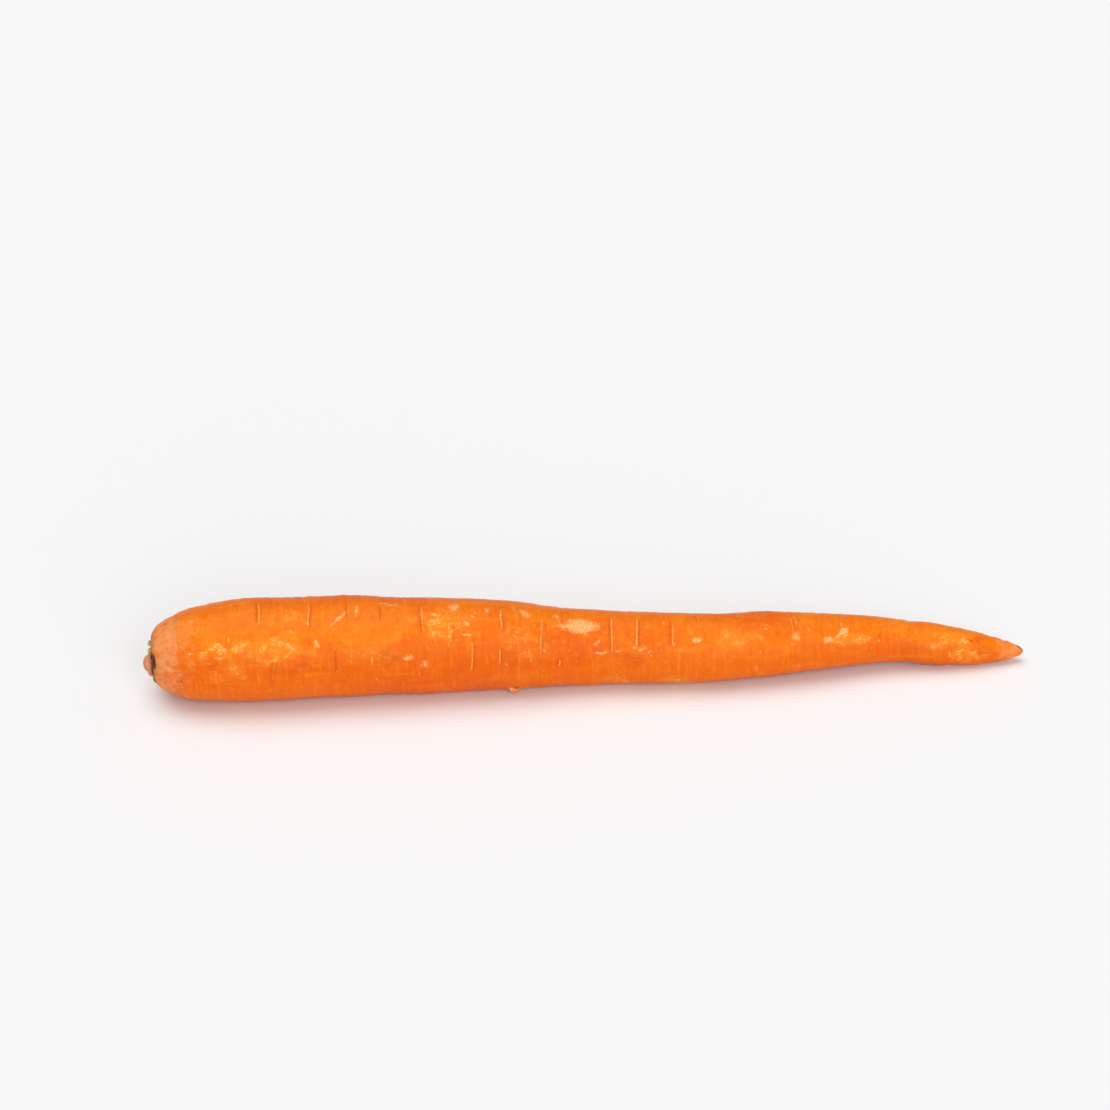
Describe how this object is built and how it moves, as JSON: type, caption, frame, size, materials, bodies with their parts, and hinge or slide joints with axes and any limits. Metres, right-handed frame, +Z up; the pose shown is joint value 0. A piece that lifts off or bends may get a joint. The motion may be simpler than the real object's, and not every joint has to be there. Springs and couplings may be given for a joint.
{
  "type": "carrot",
  "caption": "Long orange carrot root with side-root scars, a rounded shoulder, a thin tail and the dry leaf-stalk stubs still in its crown.",
  "frame": {"origin": "on the resting surface, under the middle of the carrot's box", "axes": "+X along the root from its crown to its tail, +Z up from the surface that it lies on"},
  "size_m": [0.2312, 0.0272, 0.0257],
  "materials": {
    "carrot_skin": "moist orange skin with a soft gloss, pale dry scuffs and fine cross scars",
    "dry_stalk": "dull dried stalk, tan to olive brown"
  },
  "bodies": {
    "root": {"taproot": "carrot_skin", "leaf_stalk_stubs": "dry_stalk"}
  },
  "joints": []
}
